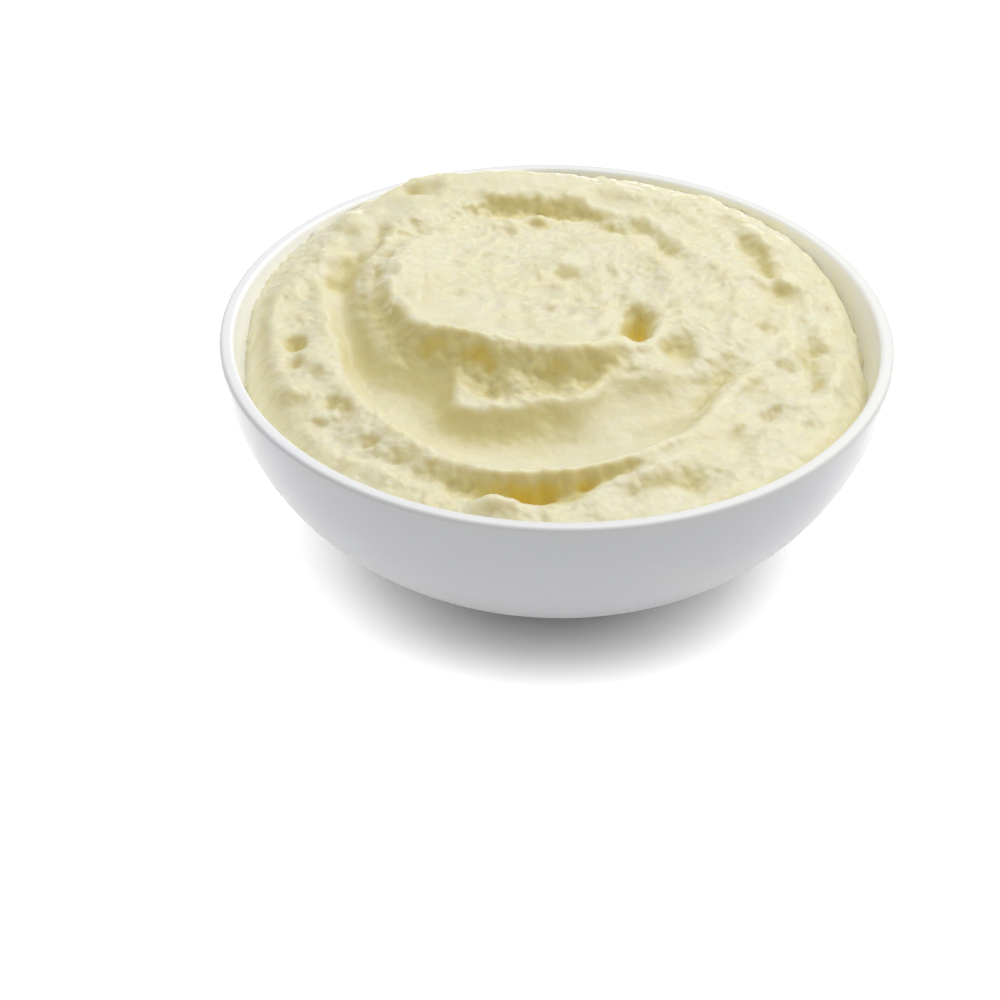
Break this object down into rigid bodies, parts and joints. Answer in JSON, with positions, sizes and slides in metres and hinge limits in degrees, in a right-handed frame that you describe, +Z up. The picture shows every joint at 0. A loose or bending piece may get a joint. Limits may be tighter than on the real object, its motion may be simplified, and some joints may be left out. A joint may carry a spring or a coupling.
{
  "type": "mashed potato side",
  "caption": "Side of mashed potato, worked with a spoon into a swirl of ridges and troughs, filling a plain round white bowl with a rounded lip.",
  "frame": {"origin": "middle of the bowl's foot, on the surface that it stands on", "axes": "+Z up along the bowl's axis, +X to the diner's right, -Y towards the diner"},
  "size_m": [0.16, 0.16, 0.0646],
  "materials": {
    "glaze": "satin white glaze",
    "potato": "moist, creamy pale yellow"
  },
  "bodies": {
    "root": {"bowl": "glaze", "mashed_potato": "potato"}
  },
  "joints": []
}
